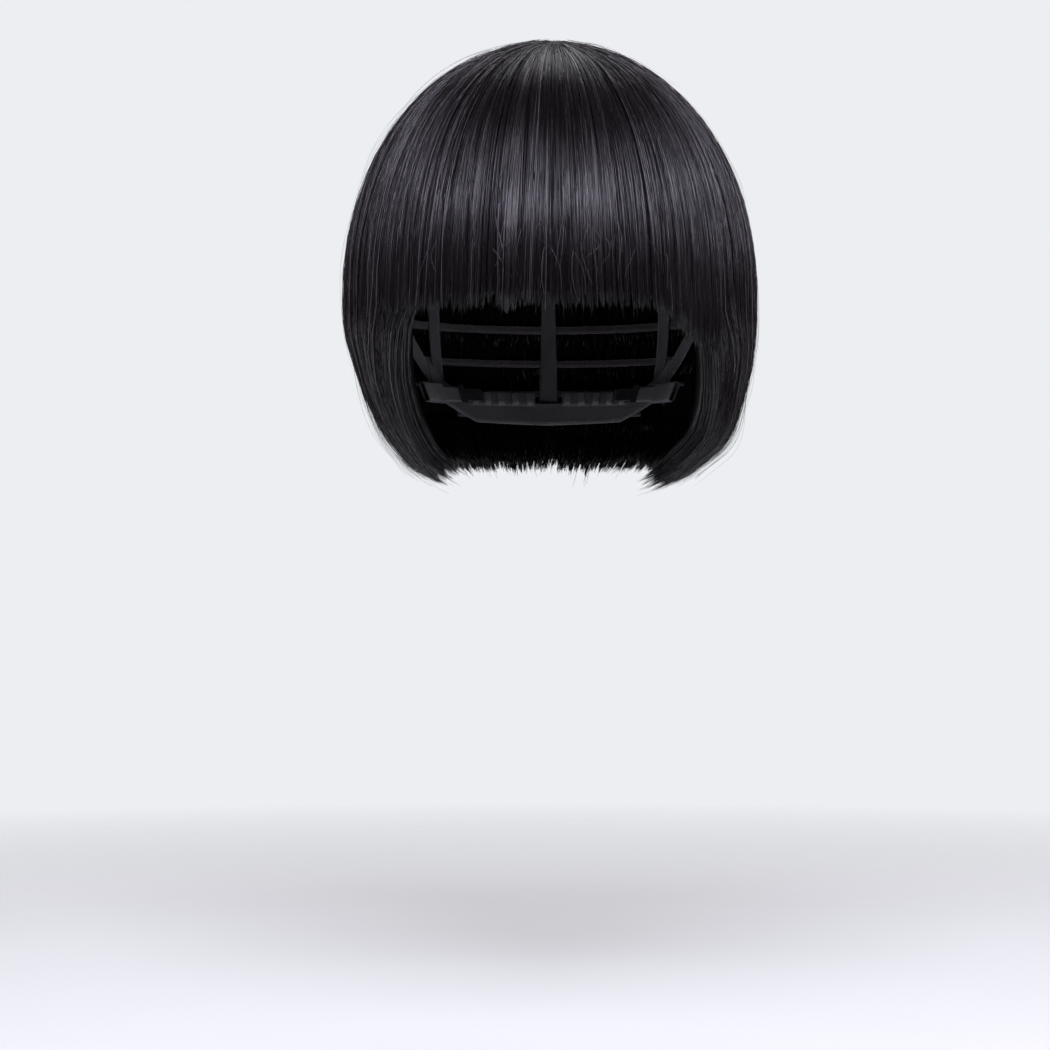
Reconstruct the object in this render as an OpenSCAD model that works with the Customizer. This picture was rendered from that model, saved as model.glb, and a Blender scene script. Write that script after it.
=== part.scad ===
// Straight bob wig with a full blunt fringe, machine-sewn on an adjustable wefted cap.
//
// The origin is the inside of the cap's crown, where the head seats. +Z is up, -Y is the face and +X is the
// wearer's left. Left and right in the names are the wearer's.
//
// Everything curved lies between two nested forms: the head, and the outside of the hair. A place on them is a
// bearing a (0 at the face, 90 at the wearer's left, 180 at the back) and a fall t (0 at the crown, 90 at the
// widest level, more below it), both in degrees. A depth d is how far outside the head it lies.

/* [Head] */
// Width of the head that the cap fits
head_w = 153; // [149:1:156]
// Length of that head, from forehead to back
head_l = 192; // [188:1:195]
// Height of the crown above the head's widest level
head_rise = 95; // [93:1:97]
// Depth over which the head narrows to nothing below its widest level
head_drop = 105; // [103:1:108]

/* [Hair] */
// Width of the wig over the hair
hair_w = 191; // [189:1:194]
// Length of the wig over the hair, front to back
hair_l = 218; // [216:1:222]
// Height of the hair above the inside of the crown
crown_h = 9; // [8.5:0.5:11]
// Height of the hair's top above its widest level
hair_rise = 115; // [113:1:117]
// Depth over which the hair curls under to nothing below its widest level
hair_drop = 100; // [99:1:103]
// Drop from the crown to the fringe's cut edge
fringe_cut = 120; // [117:1:123]
// How much further the fringe's left corner comes down
corner_drop = 15; // [8:1:17]
// Drop from the crown to the cut ends at the sides
side_cut = 191; // [188:1:192]
// Drop from the crown to the cut ends at the back
back_cut = 187; // [184:1:190]

/* [Cap] */
// Spacing of the weft rows, in degrees of fall
row_step = 9; // [9:1:9]
// Height of a weft's sewn edge, in degrees of fall
weft_w = 1.9; // [1.5:0.1:2.4]
// Width of the perimeter bands, in degrees of fall
band_w = 7; // [6:0.5:8]
// Width of a vertical ribbon
ribbon_w = 8; // [6:0.5:10]
// Thickness of the bands
band_t = 1.2; // [0.8:0.1:1.3]

/* [Adjusters] */
// Width of an adjuster strap
strap_w = 8; // [6:0.5:9]
// How far a strap pulls across the nape, in degrees about the nape axis
strap_travel = 16; // [12:1:17]

/* [Side combs] */
// Number of teeth on a comb
comb_teeth = 12; // [8:1:12]
// Pitch of the teeth
comb_pitch = 3; // [2.6:0.1:3.2]

/* [Hidden] */
// Fall at which each hair layer starts, outermost first: each layer is the hair of two weft rows
LAYER_START = [3, for (k = [1:6]) row_step + 2 * row_step * k];
LAYERS_FRINGE = 3;
LAYERS_SIDE = 4;
LAYERS_BACK = 7;
WEFT_ROWS = 13;
// Bearing at which each weft row starts on either side; the first five rows go all the way round
WEFT_FROM = [0, 0, 0, 0, 0, 50, 56, 62, 108, 118, 126, 134, 142];
LAST_ROW_T = 124;
// Bearings of the vertical ribbons and the fall at which each ends
RIBBONS = [
  ["ribbon_front_left", 28, 66], ["ribbon_side_left", 84, 81], ["ribbon_back_left", 135, 119],
  ["ribbon_front_right", -28, 66], ["ribbon_side_right", -84, 81], ["ribbon_back_right", -135, 119],
  ["ribbon_back_centre", 180, 126]
];

hair_colour = [0.10, 0.09, 0.10];
net_colour = [0.16, 0.16, 0.17];
band_colour = [0.07, 0.07, 0.08];
skin_colour = [0.78, 0.68, 0.60];
comb_colour = [0.05, 0.05, 0.06];

// Stack of the cap outwards from the head
net_t = 0.7;
ribbon_d = [1.7, 2.4];
weft_d = [2.8, 3.9];
hair_d = 4.3;
// Half of the gap between neighbouring hair layers, and between sections in degrees
layer_gap = 0.17;
section_gap = 0.2;
// Fall over which a layer thickens from its root, and its share of full thickness there
root_run = 27;
root_share = 0.4;

// Bearings: half the face opening at the fringe, the same at the cut ends, and where the sides meet the back
face_a = 42;
face_low_a = 62;
back_a = 105;
// Columns of each section's grid
FRINGE_COLS = 12;
SIDE_COLS = 9;
BACK_COLS = 20;
RING_COLS = 48;
// Fall at which the face opening starts to widen, how soon it does most of that, and the fall of the cut ends
widen_t = 96;
widen_power = 0.6;
low_t = 144;
// Last shared row of a fringe layer's grid, and of the other layers' grids
FRINGE_LAST_T = 90;
SIDE_LAST_T = 135;

// Edge of the cap as [bearing, fall]: hairline, ear tab, over the ear, nape
CAP_EDGE = [[0, 68], [35, 70], [50, 80], [60, 91], [66, 99], [76, 100], [86, 93], [102, 92], [118, 107],
            [135, 122], [150, 128], [180, 129]];
tab_top = 84;
tab_a = [58.5, 85.5];
side_a = [86, 128];
net_low = 72;

function mix(p, q, u) = p + (q - p) * u;
function clamp01(u) = min(1, max(0, u));
function spow(v, p) = sign(v) * pow(abs(v), p);
function unit(v) = v / norm(v);
function steps(from, to, n) = [for (i = [0:n]) mix(from, to, i / n)];
// How far below the widest level, from 0 to 1 at the cut ends
function lowness(t) = clamp01((t - 90) / 54);

// A place on a form: hw and hl are its half width and half length, level its widest level, rise and drop its
// heights above and below that, and up and down the roundness of its upper and lower halves. Below the widest
// level it squares off in plan, so the sides hang forward beside the jaw.
function form(a, t, hw, hl, level, rise, drop, up, down) =
  let (e = 2 / (t <= 90 ? up : down),
       s = pow(sin(t), e),
       full = lowness(t) * mix(0.2, 0.4, (1 + cos(a)) / 2),
       p = mix(1, 0.8, lowness(t)))
  [hw * s * spow(sin(a), p), -hl * (s + (1 - s) * full) * spow(cos(a), p),
   level + spow(cos(t), e) * (t <= 90 ? rise : drop)];

function head(a, t) = form(a, t, head_w / 2, head_l / 2, -head_rise, head_rise, head_drop, 2.15, 2.3);
function hair(a, t) = form(a, t, hair_w / 2, hair_l / 2, crown_h - hair_rise, hair_rise, hair_drop, 2.08, 2.4);
function hair_thickness(a, t) = norm(hair(a, t) - head(a, t));
function place(a, t, d) = head(a, t) + d * unit(hair(a, t) - head(a, t));

// Fall at which the outside of the hair is the given drop below the crown
function fall_of(drop) = 90 + asin(pow((drop + crown_h - hair_rise) / hair_drop, 1.2));
function cap_edge(a) = lookup(abs(a), CAP_EDGE);
function band_top(a) = min(cap_edge(a) - band_w, abs(a) > tab_a[0] && abs(a) < tab_a[1] ? tab_top : 180);

// The fringe is cut straight, and its left corner rounds down into the side
function fringe_drop(a) = fringe_cut + corner_drop * pow(clamp01((a - 17) / (face_a - 17)), 1.8);
function face_edge(t) = mix(face_a, face_low_a, pow(clamp01((t - widen_t) / (low_t - widen_t)), widen_power));
function end_drop(a) = mix(side_cut, back_cut, clamp01((abs(a) - 80) / 60));

// Share of the hair's thickness that layer k takes up at fall t, and the two depths between which it lies
function share(k, t) = t < LAYER_START[k] ? 0
  : mix(root_share, 1, clamp01((t - LAYER_START[k]) / root_run));
function shares(from, to, t) = from > to ? 0 : share(from, t) + shares(from + 1, to, t);
function layer_depth(k, n, a, t, outside) =
  let (all = shares(0, n - 1, t),
       below = shares(outside ? k : k + 1, n - 1, t) / all,
       gap = outside ? (k == 0 ? 0 : -layer_gap) : (k == n - 1 ? 0 : layer_gap))
  mix(hair_d, hair_thickness(a, t), below) + gap;

function quad(p, q, r, s) = [[p, q, r], [p, r, s]];

// Closed shell over a grid of columns of [a, t] places, between the depths inner(a, t) and outer(a, t). A ring
// joins its last column to its first, and a capped ring is closed over the crown.
module shell(grid, inner, outer, ring = false, capped = false) {
  n = len(grid);
  m = len(grid[0]);
  spans = ring ? n : n - 1;
  at = function (side, i, j) (side * n + i % n) * m + j;
  points = [
    for (col = grid, q = col) place(q[0], q[1], inner(q[0], q[1])),
    for (col = grid, q = col) place(q[0], q[1], outer(q[0], q[1])),
    if (capped) place(0, 0.01, inner(0, 0)),
    if (capped) place(0, 0.01, outer(0, 0))
  ];
  pole = 2 * n * m;
  walls = [for (i = [0:spans - 1], j = [0:m - 2]) each concat(
    quad(at(1, i, j), at(1, i + 1, j), at(1, i + 1, j + 1), at(1, i, j + 1)),
    quad(at(0, i, j), at(0, i, j + 1), at(0, i + 1, j + 1), at(0, i + 1, j)))];
  tops = [for (i = [0:spans - 1]) each capped
    ? [[pole + 1, at(1, i + 1, 0), at(1, i, 0)], [pole, at(0, i, 0), at(0, i + 1, 0)]]
    : quad(at(0, i, 0), at(0, i + 1, 0), at(1, i + 1, 0), at(1, i, 0))];
  bottoms = [for (i = [0:spans - 1])
    each quad(at(0, i, m - 1), at(1, i, m - 1), at(1, i + 1, m - 1), at(0, i + 1, m - 1))];
  ends = ring ? [] : [for (j = [0:m - 2]) each concat(
    quad(at(0, 0, j), at(1, 0, j), at(1, 0, j + 1), at(0, 0, j + 1)),
    quad(at(0, n - 1, j), at(0, n - 1, j + 1), at(1, n - 1, j + 1), at(1, n - 1, j)))];
  polyhedron(points, concat(walls, tops, bottoms, ends));
}

// ---------- Hair

// Falls of a layer's rows down to its cut end: shared by all layers, so that they nest exactly
function layer_rows(start, last, end) = [
  start, for (t = [row_step:row_step:last]) if (t > start + 1) t, end];

module hair_layer(k, n, bearings, last, end) {
  color(hair_colour)
  shell([for (b = bearings) [for (t = layer_rows(LAYER_START[k], last, end(b(0)))) [b(t), t]]],
        function (a, t) layer_depth(k, n, a, t, false),
        function (a, t) layer_depth(k, n, a, t, true));
}

module hair_fringe(k) {
  half = face_a - section_gap;
  hair_layer(k, LAYERS_FRINGE, [for (a = steps(-half, half, FRINGE_COLS)) function (t) a], FRINGE_LAST_T,
             function (a) fall_of(fringe_drop(a)));
}

// The front edge of a side sweeps back a little on its way down to the jaw
module hair_side(k, side) {
  bearings = [for (u = side > 0 ? steps(0, 1, SIDE_COLS) : steps(1, 0, SIDE_COLS))
    function (t) side * mix(face_edge(t) + section_gap, back_a - section_gap, u)];
  hair_layer(k, LAYERS_SIDE, bearings, SIDE_LAST_T, function (a) fall_of(end_drop(a)));
}

module hair_back(k) {
  hair_layer(k, LAYERS_BACK,
             [for (a = steps(back_a + section_gap, 360 - back_a - section_gap, BACK_COLS)) function (t) a],
             SIDE_LAST_T, function (a) fall_of(end_drop(180 - abs(180 - a))));
}

// ---------- Cap

// Strip of the cap between the bearings a1 and a2 and the falls top(a) and low(a)
module cap_strip(a1, a2, cols, rows, top, low, depth) {
  shell([for (a = steps(a1, a2, cols)) [for (u = steps(0, 1, rows)) [a, mix(top(a), low(a), u)]]],
        function (a, t) depth[0], function (a, t) depth[1]);
}

module crown_net() {
  rows = 8;
  net_gap = 1.2;
  color(net_colour)
  shell([for (i = [0:RING_COLS - 1])
          let (a = 360 * i / RING_COLS, low = min(net_low, band_top(180 - abs(180 - a)) - net_gap))
          [for (j = [1:rows]) [a, low * j / rows]]],
        function (a, t) 0, function (a, t) net_t, ring = true, capped = true);
}

module skin_top() {
  color(skin_colour)
  shell([for (i = [0:RING_COLS / 2 - 1]) [for (t = [6, 12]) [720 * i / RING_COLS, t]]],
        function (a, t) ribbon_d[0], function (a, t) ribbon_d[1], ring = true, capped = true);
}

module front_band() {
  half = tab_a[0] - 0.5;
  color(band_colour)
  cap_strip(-half, half, 16, 2, function (a) cap_edge(a) - band_w, function (a) cap_edge(a), [0, band_t]);
}

module nape_band() {
  half = side_a[1] + 0.5;
  color(band_colour)
  cap_strip(half, 360 - half, 16, 2, function (a) cap_edge(180 - abs(180 - a)) - band_w - 1,
            function (a) cap_edge(180 - abs(180 - a)), [0, band_t]);
}

module ear_tab(side) {
  color(band_colour)
  cap_strip(side > 0 ? tab_a[0] : -tab_a[1], side > 0 ? tab_a[1] : -tab_a[0], 6, 3,
            function (a) min(cap_edge(a) - band_w, tab_top), function (a) cap_edge(a), [0, band_t]);
}

// Bendable stay sewn on the tab, which shapes it to the temple
module ear_stay(side) {
  color(comb_colour)
  cap_strip(side * 70 - 1.6, side * 70 + 1.6, 1, 3, function (a) 84, function (a) 96, ribbon_d);
}

module side_band(side) {
  color(band_colour)
  cap_strip(side > 0 ? side_a[0] : -side_a[1], side > 0 ? side_a[1] : -side_a[0], 6, 2,
            function (a) cap_edge(a) - band_w, function (a) cap_edge(a), [0, band_t]);
}

// A ribbon keeps its width in millimetres, so its bearings open out towards the crown
module ribbon(k) {
  a = RIBBONS[k][1];
  top = 14;
  rows = ceil((RIBBONS[k][2] - top) / row_step);
  spread = function (t) asin(ribbon_w / 2 / norm([head(a, t)[0], head(a, t)[1]]));
  color(band_colour)
  shell([for (s = [-1, 1]) [for (t = steps(top, RIBBONS[k][2], rows)) [a + s * spread(t), t]]],
        function (a, t) ribbon_d[0], function (a, t) ribbon_d[1]);
}

module weft(k) {
  t = k == WEFT_ROWS - 1 ? LAST_ROW_T : row_step * (k + 2);
  span = [t - weft_w / 2, t + weft_w / 2];
  round_cap = WEFT_FROM[k] == 0;
  cols = round((360 - 2 * WEFT_FROM[k]) / 360 * RING_COLS);
  bearings = round_cap ? [for (i = [0:RING_COLS - 1]) 360 * i / RING_COLS]
                       : steps(WEFT_FROM[k], 360 - WEFT_FROM[k], cols);
  color(hair_colour)
  shell([for (a = bearings) [for (q = span) [a, q]]],
        function (a, t) weft_d[0], function (a, t) weft_d[1], ring = round_cap);
}

// ---------- Nape adjusters: turned about one upright axis, inside the nape band

// The nape's slanted wall, taken from the head form: its middle, its lean and the axis that fits it in plan
nape_t = 120;
nape_back = head(180, nape_t);
nape_side = head(122, nape_t);
nape_y = (pow(nape_back[1], 2) - pow(nape_side[0], 2) - pow(nape_side[1], 2)) / (2 * (nape_back[1] - nape_side[1]));
nape_r = nape_back[1] - nape_y;
nape_lean = atan2(head(180, nape_t - 4)[1] - head(180, nape_t + 4)[1],
                  head(180, nape_t - 4)[2] - head(180, nape_t + 4)[2]);
// The adjusters lie a little inside the band, which isn't quite round
nape_clear = 1.2;
loop_tape = [0.4, 0.8];
loop_bar = [1.5, 2.0];
hook_tongue = [2.4, 3.0];
hook_plate = [3.5, 4.2];
strap_n = [3.3, 4.2];
sleeve_wall = 0.5;
sleeve_gap = 0.45;
// Bearings from the back, towards either side, in degrees about the nape axis
strap_b = [44, 76];
sleeve_b = [58, 80];
hook_b = [33, 46];
loops_b = [38 - 2 * strap_travel, 38];
loop_count = 5;
loop_len = 3;

// Point of the section, w up the wall from its middle and n inwards from it, as [radius, height]
function wall_pt(w, n) = [nape_r + w * sin(nape_lean) - (n + nape_clear) * cos(nape_lean),
                          nape_back[2] + w * cos(nape_lean) + n * sin(nape_lean)];

// Sector from bearing b1 to b2 of the section with the given [w, n] corners, on one side
module nape_sector(b1, b2, corners, side) {
  translate([0, nape_y, 0])
  rotate([0, 0, side > 0 ? 90 - b2 : 90 + b1])
  rotate_extrude(angle = b2 - b1, $fn = 120)
  polygon([for (c = corners) wall_pt(c[0], c[1])]);
}

function slab(half_w, n) = [[-half_w, n[0]], [half_w, n[0]], [half_w, n[1]], [-half_w, n[1]]];

module adjuster_strap(side) {
  color(band_colour)
  nape_sector(strap_b[0], strap_b[1], slab(strap_w / 2, strap_n), side);
}

// Flat tube that the strap slides in, with a flange along its top stitched to the band
module strap_sleeve(side) {
  in_w = strap_w / 2 + sleeve_gap;
  in_n = [strap_n[0] - sleeve_gap, strap_n[1] + sleeve_gap];
  out_w = in_w + sleeve_wall;
  out_n = [in_n[0] - sleeve_wall, in_n[1] + sleeve_wall];
  color(band_colour)
  difference() {
    nape_sector(sleeve_b[0], sleeve_b[1],
                [[-out_w, out_n[0]], [out_w - 1, out_n[0]], [out_w - 1, loop_tape[0]], [out_w, loop_tape[0]],
                 [out_w, out_n[1]], [-out_w, out_n[1]]], side);
    nape_sector(sleeve_b[0] - 1, sleeve_b[1] + 1, slab(in_w, in_n), side);
  }
}

// Flat hook on the strap's end, folded back on itself: the tongue goes under a loop
module strap_hook(side) {
  bend_len = 1;
  tongue_len = 6;
  // clamp that grips the strap's end, just clear of it
  plate_end = hook_b[1] - 2.4;
  clamp_end = hook_b[1];
  clamp_half = strap_w / 2 + 0.6;
  clamp_n = [strap_n[1] + 0.05, strap_n[1] + 0.6];
  color(comb_colour)
  union() {
    nape_sector(hook_b[0], plate_end, slab(strap_w / 2 - 1, hook_plate), side);
    nape_sector(hook_b[0], hook_b[0] + bend_len, slab(strap_w / 2 - 1, [hook_tongue[0], hook_plate[1]]), side);
    nape_sector(hook_b[0], hook_b[0] + tongue_len, slab(strap_w / 2 - 2, hook_tongue), side);
    nape_sector(plate_end - bend_len, clamp_end, slab(clamp_half, clamp_n), side);
    nape_sector(plate_end - bend_len, plate_end, slab(clamp_half, [hook_plate[0], clamp_n[0] + 0.35]), side);
  }
}

// Row of flat loops on a tape sewn along the nape band
module hook_loops(side) {
  half = 3;
  leg = 0.6;
  pitch = (loops_b[1] - loops_b[0] - loop_len - 2) / (loop_count - 1);
  color(band_colour)
  union() {
    nape_sector(loops_b[0], loops_b[1], slab(half + 1, loop_tape), side);
    for (i = [0:loop_count - 1]) {
      b = loops_b[0] + 1 + i * pitch;
      nape_sector(b, b + loop_len, slab(half, loop_bar), side);
      for (w = [-half + leg / 2, half - leg / 2])
        nape_sector(b, b + loop_len, [for (c = slab(leg / 2, [loop_tape[1] - 0.1, loop_bar[1]])) [c[0] + w, c[1]]],
                    side);
    }
  }
}

// ---------- Side combs: the spine is stitched above the ear, and the teeth follow the head up from it

comb_t = 74;
comb_in = 2.9;
comb_curve_r = 105;
comb_reach = 15;
spine_d = 2.6;
tooth_d = 1.4;
comb_seat = head(90, comb_t);
comb_up = atan2(-head(90, comb_t - 3)[0] + head(90, comb_t + 3)[0], head(90, comb_t - 3)[2] - head(90, comb_t + 3)[2]);
comb_spine = [comb_seat[0] - comb_in * cos(comb_up), 0, comb_seat[2] - comb_in * sin(comb_up)];

module side_comb(side) {
  length = comb_pitch * (comb_teeth - 1) + spine_d;
  color(comb_colour)
  mirror([side > 0 ? 0 : 1, 0, 0])
  union() {
    translate(comb_spine) rotate([90, 0, 0]) cylinder(d = spine_d, h = length, center = true, $fn = 24);
    for (i = [0:comb_teeth - 1])
      translate([comb_spine[0] - comb_curve_r * cos(comb_up),
                 comb_pitch * (i - (comb_teeth - 1) / 2),
                 comb_spine[2] - comb_curve_r * sin(comb_up)])
      rotate([90, 0, 0]) rotate([0, 0, comb_up])
      rotate_extrude(angle = comb_reach, $fn = 96) translate([comb_curve_r, 0]) circle(d = tooth_d, $fn = 16);
  }
}

// ---------- Nodes

crown_net();
skin_top();
front_band();
nape_band();
for (end = [["left", 1], ["right", -1]]) {
  ear_tab(end[1]);
  ear_stay(end[1]);
  side_band(end[1]);
  strap_sleeve(end[1]);
  adjuster_strap(end[1]);
  strap_hook(end[1]);
  hook_loops(end[1]);
  side_comb(end[1]);
  for (k = [1:LAYERS_SIDE])
    hair_side(k - 1, end[1]);
}
for (k = [0:len(RIBBONS) - 1])
  ribbon(k);
for (k = [1:WEFT_ROWS])
  weft(k - 1);
for (k = [1:LAYERS_FRINGE])
  hair_fringe(k - 1);
for (k = [1:LAYERS_BACK])
  hair_back(k - 1);
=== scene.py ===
import math

import bpy
import numpy as np
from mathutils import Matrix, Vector


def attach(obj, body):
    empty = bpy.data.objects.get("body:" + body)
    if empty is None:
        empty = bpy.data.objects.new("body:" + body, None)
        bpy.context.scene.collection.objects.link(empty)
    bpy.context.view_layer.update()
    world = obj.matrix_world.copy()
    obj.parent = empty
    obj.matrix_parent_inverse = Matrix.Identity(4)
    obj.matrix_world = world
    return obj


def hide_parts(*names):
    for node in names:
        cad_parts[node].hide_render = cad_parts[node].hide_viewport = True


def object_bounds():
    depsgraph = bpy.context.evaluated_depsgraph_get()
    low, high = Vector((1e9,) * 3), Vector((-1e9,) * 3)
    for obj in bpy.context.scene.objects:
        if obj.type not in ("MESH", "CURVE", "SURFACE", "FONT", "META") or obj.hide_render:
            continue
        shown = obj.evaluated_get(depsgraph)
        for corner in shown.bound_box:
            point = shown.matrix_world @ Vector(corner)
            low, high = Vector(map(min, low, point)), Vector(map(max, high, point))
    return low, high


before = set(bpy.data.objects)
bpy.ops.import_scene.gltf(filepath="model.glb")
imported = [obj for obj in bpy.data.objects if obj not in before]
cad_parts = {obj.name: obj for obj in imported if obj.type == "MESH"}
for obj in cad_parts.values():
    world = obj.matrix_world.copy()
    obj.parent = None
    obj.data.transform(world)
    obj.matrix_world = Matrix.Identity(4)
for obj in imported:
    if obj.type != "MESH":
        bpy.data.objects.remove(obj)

# Straight bob wig with a full fringe on a wefted cap. Metres and degrees, +Z up, -Y the face, +X the wearer's
# left. A place on the wig has a bearing a (0 at the face, 90 at the wearer's left, 180 at the back), a fall t
# (0 at the crown, 90 at the widest level) and a depth d outwards from the head, as in the CAD model.

CAD_LOW, CAD_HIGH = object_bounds()
MM = 0.001

# ---------- Camera: level, at chin height in front of the wig

CAMERA_AWAY = 1.4
CAMERA_BELOW_CROWN = 0.214
CAMERA_ASIDE = 0.0115
CAMERA_LENS, CAMERA_SENSOR = 104.2, 36
CAMERA_CLIP = (0.05, 30)


def make_camera():
    camera = bpy.data.objects.new("camera", bpy.data.cameras.new("camera"))
    bpy.context.collection.objects.link(camera)
    camera.data.lens = CAMERA_LENS
    camera.data.sensor_width = CAMERA_SENSOR
    camera.data.clip_start, camera.data.clip_end = CAMERA_CLIP
    camera.location = (-CAMERA_ASIDE, -CAMERA_AWAY, -CAMERA_BELOW_CROWN)
    camera.rotation_euler = (math.pi / 2, 0, 0)
    bpy.context.scene.camera = camera


make_camera()

# ---------- The two forms that every curved piece lies between, as in part.scad

# Each form has half its width and length, the level of its widest place, its rise above and drop below that,
# and how full it is above and below (2 is an ellipse)
CROWN = CAD_HIGH.z
HEAD = dict(half_w=0.0765, half_l=0.096, level=-0.095, rise=0.095, drop=0.105, up=2.15, down=2.3)
HAIR = dict(half_w=(CAD_HIGH.x - CAD_LOW.x) / 2, half_l=(CAD_HIGH.y - CAD_LOW.y) / 2, level=CROWN - 0.115,
            rise=0.115, drop=0.1, up=2.08, down=2.4)
WIDEST, LOWEST = 90, 144  # falls of the widest level and of the lowest cut ends
# Below the widest level both forms square off in plan, more at the front than at the back
SQUARE_BACK, SQUARE_FRONT, SQUARE_POWER = 0.2, 0.4, 0.8
FLATTER, FLATTER_TO = 1.8 * MM, 96


def mix(p, q, u):
    return p + (q - p) * u


def clamp01(u):
    return np.clip(u, 0.0, 1.0)


def ease(u):
    u = clamp01(u)
    return u * u * (3 - 2 * u)


def between(t, start, end):
    """Eased from 0 at the start to 1 at the end."""
    return ease((t - start) / (end - start))


def signed_power(v, p):
    return np.sign(v) * np.abs(v) ** p


def unit(v):
    return v / np.maximum(np.linalg.norm(v, axis=-1, keepdims=True), 1e-12)


def lowness(t):
    """How far down the hair is below its widest level, 0 to 1."""
    return clamp01((t - WIDEST) / (LOWEST - WIDEST))


def signed(a):
    """Bearing between -180 and 180."""
    return (a + 180) % 360 - 180


def form(a, t, half_w, half_l, level, rise, drop, up, down):
    """Point of a form at bearing a and fall t."""
    sin_a, cos_a = np.sin(np.radians(a)), np.cos(np.radians(a))
    sin_t, cos_t = np.sin(np.radians(t)), np.cos(np.radians(t))
    roundness = 2 / np.where(t <= WIDEST, up, down)
    size = np.abs(sin_t) ** roundness
    full = lowness(t) * mix(SQUARE_BACK, SQUARE_FRONT, (1 + cos_a) / 2)
    p = mix(1, SQUARE_POWER, lowness(t))
    x = half_w * size * signed_power(sin_a, p)
    y = -half_l * (size + (1 - size) * full) * signed_power(cos_a, p)
    z = level + signed_power(cos_t, roundness) * np.where(t <= WIDEST, rise, drop)
    return np.stack([x, y, z], axis=-1)


def head(a, t):
    return form(a, t, **HEAD)


def thickness(a, t):
    """Depth of the hair. Round the crown it lies a little flatter than the plain form."""
    flatter = FLATTER * np.sin(np.radians(clamp01(t / FLATTER_TO) * 180))
    return np.linalg.norm(form(a, t, **HAIR) - head(a, t), axis=-1) - flatter


def outward(a, t):
    return unit(form(a, t, **HAIR) - head(a, t))


def place(a, t, d):
    """Point at depth d outside the head."""
    return head(a, t) + np.asarray(d)[..., None] * outward(a, t)


def fall_of(drop):
    """Fall at which the outside of the hair is this far below the crown."""
    below = clamp01((drop + HAIR["level"]) / HAIR["drop"])
    return WIDEST + np.degrees(np.arcsin(below ** (HAIR["down"] / 2)))


# ---------- Cut and sections of the hair

# Bearings of the section edges; from this fall down the face's edge runs back to FACE_LOW
FACE, FACE_LOW, BACK = 42.0, 62.0, 105.0
FACE_EDGE_FROM = 96
FRINGE_CUT, CORNER_DROP, CORNER_FROM = 0.120, 0.015, 24
LEFT_CUT, RIGHT_CUT, BACK_CUT = 0.1925, 0.190, 0.187
SIDE_CUT_TO, BACK_CUT_FROM = 80, 140
HAIR_IN = 4.3 * MM


def fringe_drop(a):
    """The fringe is straight, and its left corner rounds down into the side."""
    return FRINGE_CUT + CORNER_DROP * clamp01((a - CORNER_FROM) / (FACE - CORNER_FROM)) ** 1.8


def end_drop(a):
    """Drop of the cut at the sides and the back."""
    a = signed(a)
    side = np.where(a > 0, LEFT_CUT, RIGHT_CUT)
    return mix(side, BACK_CUT, clamp01((np.abs(a) - SIDE_CUT_TO) / (BACK_CUT_FROM - SIDE_CUT_TO)))


def face_edge(t):
    """Bearing of the hair's edge beside the face."""
    return mix(FACE, FACE_LOW, clamp01((t - FACE_EDGE_FROM) / (LOWEST - FACE_EDGE_FROM)) ** 0.6)


def fringe_lane(v, t):
    return mix(-FACE, FACE, v) + 0 * t


def left_lane(v, t):
    return mix(face_edge(t), BACK, v)


def right_lane(v, t):
    return -left_lane(v, t)


def back_lane(v, t):
    return mix(BACK, 360 - BACK, v) + 0 * t


# The bearing of a lane from 0 to 1 at a fall, the drop of the cut, and the CAD layers that each section has
SECTIONS = {
    "fringe": (fringe_lane, fringe_drop, 3),
    "left": (left_lane, end_drop, 4),
    "right": (right_lane, end_drop, 4),
    "back": (back_lane, end_drop, 7),
}

# The strands part at the whorl, a little in front of the very top
WHORL_FALL, WHORL_REACH, WHORL_ASIDE = 11.0, 62.0, 0.08


def parted(a, t):
    """Bearing and fall once the strands near the crown run to the whorl."""
    shift = WHORL_FALL * clamp01(1 - t / WHORL_REACH) ** 2
    x = t * np.sin(np.radians(a)) + WHORL_ASIDE * shift
    y = -t * np.cos(np.radians(a)) - shift
    return np.degrees(np.arctan2(x, -y)), np.hypot(x, y)


# How the lower hair departs from the plain form: shares of x, and shifts of x
LEFT_FLARE, RIGHT_DRAW, RIGHT_WAIST = 0.027, -0.005, -0.018
HANG_LEFT, ENDS_BACK = 4 * MM, 2.5 * MM


def hang(path, t):
    """The lower hair hangs a little to the wearer's left. Its left flares out, its right draws in."""
    path = path.copy()
    low = between(t, 112, 134)
    waist = between(t, 96, 108) * (1 - between(t, 118, 132))
    path[..., 0] *= 1 + np.where(path[..., 0] > 0, LEFT_FLARE * low, RIGHT_DRAW * low + RIGHT_WAIST * waist)
    path[..., 0] += HANG_LEFT * lowness(t) ** 1.5 - ENDS_BACK * between(t, 132, 142)
    return path


# ---------- Meshes

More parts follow.
